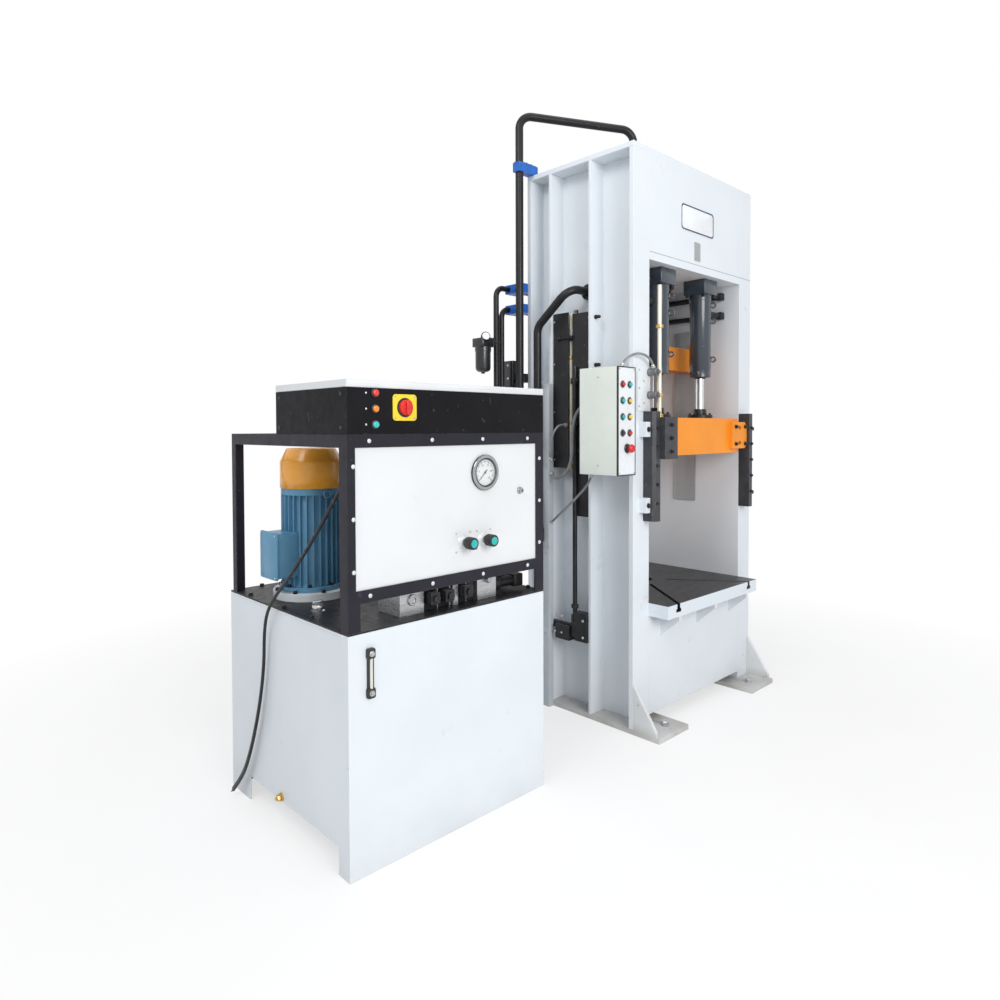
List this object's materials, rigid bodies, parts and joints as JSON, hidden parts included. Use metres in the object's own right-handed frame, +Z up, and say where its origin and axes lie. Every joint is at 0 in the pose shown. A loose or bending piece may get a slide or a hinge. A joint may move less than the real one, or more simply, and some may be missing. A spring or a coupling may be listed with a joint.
{
  "type": "hydraulic press",
  "caption": "Frame press with a ram crosshead, a holder slide on rods, a slotted table, and an oil power pack with motor, valve block and control box.",
  "frame": {"origin": "centre of the press frame's anchor holes, on the floor", "axes": "+X to the press's right, +Y to its rear, +Z up"},
  "size_m": [2.761, 1.018, 3.136],
  "materials": {
    "frame_paint": "satin white paint",
    "slide_paint": "satin orange paint",
    "cylinder_paint": "satin dark paint",
    "black_paint": "satin black paint",
    "blue_paint": "satin blue paint",
    "motor_blue": "satin blue paint",
    "cowl_orange": "satin orange paint",
    "pipe_black": "satin black paint",
    "machined_steel": "machined steel",
    "gib_steel": "satin dark grey paint",
    "chromed_rod": "hard chrome",
    "gauge_steel": "brushed rim round a white dial",
    "cast_alloy": "cast and machined",
    "black_plastic": "matte black",
    "red_plastic": "gloss red",
    "green_plastic": "gloss green",
    "yellow_plastic": "gloss yellow",
    "conduit_grey": "matte grey sleeve",
    "lead_rubber": "matte black sheath"
  },
  "bodies": {
    "press_frame": {"base_feet": "frame_paint", "left_column": "frame_paint", "right_column": "frame_paint", "crown": "frame_paint", "bed": "frame_paint", "press_table": "machined_steel", "guide_gibs": "gib_steel", "wear_plates": "machined_steel", "main_cylinder": "cylinder_paint", "holder_cylinders": "cylinder_paint", "rod_guards": "black_paint", "switch_rod": "machined_steel", "wiring_duct": "black_plastic", "limit_switches": "frame_paint", "button_station": "frame_paint", "station_cover": "frame_paint", "oil_tank": "frame_paint", "tank_top_plate": "black_paint", "tank_fittings": "black_plastic", "pack_frame": "black_paint", "control_panel": "frame_paint", "pressure_gauge": "gauge_steel", "control_box": "black_paint", "control_box_lid": "frame_paint", "box_switchgear": "black_plastic", "valve_manifold": "machined_steel", "motor_body": "motor_blue", "fan_cowl": "cowl_orange", "pump_and_bell": "cast_alloy", "main_pressure_pipe": "pipe_black", "return_pipe": "pipe_black", "holder_lines": "pipe_black", "pipe_clamps": "blue_paint", "air_unit": "black_plastic", "dog_switch_conduit": "conduit_grey", "station_conduit": "conduit_grey", "earth_conduit": "conduit_grey", "switch_conduit": "conduit_grey", "power_lead": "lead_rubber"},
    "slide_body": {"slide": "slide_paint", "guide_shoes": "gib_steel", "holder_rods": "chromed_rod", "slide_dog_rod": "machined_steel"},
    "punch_body": {"crosshead": "slide_paint", "main_ram": "chromed_rod", "punch_dog_rod": "machined_steel"},
    "rotor_body": {"motor_rotor": "machined_steel"},
    "needle_body": {"gauge_needle": "black_plastic"},
    "left_knob_body": {"left_knob": "black_plastic"},
    "right_knob_body": {"right_knob": "black_plastic"},
    "handle_body": {"isolator_handle": "red_plastic"},
    "stop_body": {"stop_button": "red_plastic"},
    "button_left_1_body": {"button_left_1": "red_plastic"},
    "button_left_2_body": {"button_left_2": "green_plastic"},
    "button_left_3_body": {"button_left_3": "green_plastic"},
    "button_left_4_body": {"button_left_4": "black_plastic"},
    "button_right_1_body": {"button_right_1": "green_plastic"},
    "button_right_2_body": {"button_right_2": "yellow_plastic"},
    "button_right_3_body": {"button_right_3": "yellow_plastic"},
    "button_right_4_body": {"button_right_4": "red_plastic"}
  },
  "joints": [
    {"name": "slide_stroke", "type": "slide", "parent": "press_frame", "child": "slide_body", "axis": [0, 0, 1], "range_m": [-0.29, 0.02]},
    {"name": "punch_stroke", "type": "slide", "parent": "press_frame", "child": "punch_body", "axis": [0, 0, 1], "range_m": [-0.25, 0.1]},
    {"name": "rotor_spin", "type": "hinge", "parent": "press_frame", "child": "rotor_body", "pos_m": [-1.937, 0.232, 1], "axis": [0, 0, 1], "continuous": true},
    {"name": "needle_swing", "type": "hinge", "parent": "press_frame", "child": "needle_body", "pos_m": [-1.548, -0.372, 1.301], "axis": [0, 1, 0], "range_deg": [0, 270]},
    {"name": "left_knob_turn", "type": "hinge", "parent": "press_frame", "child": "left_knob_body", "pos_m": [-1.653, -0.4, 1.05], "axis": [0, 1, 0], "continuous": true},
    {"name": "right_knob_turn", "type": "hinge", "parent": "press_frame", "child": "right_knob_body", "pos_m": [-1.553, -0.4, 1.05], "axis": [0, 1, 0], "continuous": true},
    {"name": "isolator_turn", "type": "hinge", "parent": "press_frame", "child": "handle_body", "pos_m": [-1.919, -0.373, 1.5375], "axis": [0, 1, 0], "range_deg": [0, 90]},
    {"name": "stop_press", "type": "slide", "parent": "press_frame", "child": "stop_body", "axis": [0, 1, 0], "range_m": [0, 0.006], "stiffness_N_per_m": 1200},
    {"name": "button_left_1_press", "type": "slide", "parent": "press_frame", "child": "button_left_1_body", "axis": [0, 1, 0], "range_m": [0, 0.003], "stiffness_N_per_m": 900},
    {"name": "button_left_2_press", "type": "slide", "parent": "press_frame", "child": "button_left_2_body", "axis": [0, 1, 0], "range_m": [0, 0.003], "stiffness_N_per_m": 900},
    {"name": "button_left_3_press", "type": "slide", "parent": "press_frame", "child": "button_left_3_body", "axis": [0, 1, 0], "range_m": [0, 0.003], "stiffness_N_per_m": 900},
    {"name": "button_left_4_press", "type": "slide", "parent": "press_frame", "child": "button_left_4_body", "axis": [0, 1, 0], "range_m": [0, 0.003], "stiffness_N_per_m": 900},
    {"name": "button_right_1_press", "type": "slide", "parent": "press_frame", "child": "button_right_1_body", "axis": [0, 1, 0], "range_m": [0, 0.003], "stiffness_N_per_m": 900},
    {"name": "button_right_2_press", "type": "slide", "parent": "press_frame", "child": "button_right_2_body", "axis": [0, 1, 0], "range_m": [0, 0.003], "stiffness_N_per_m": 900},
    {"name": "button_right_3_press", "type": "slide", "parent": "press_frame", "child": "button_right_3_body", "axis": [0, 1, 0], "range_m": [0, 0.003], "stiffness_N_per_m": 900},
    {"name": "button_right_4_press", "type": "slide", "parent": "press_frame", "child": "button_right_4_body", "axis": [0, 1, 0], "range_m": [0, 0.003], "stiffness_N_per_m": 900}
  ]
}
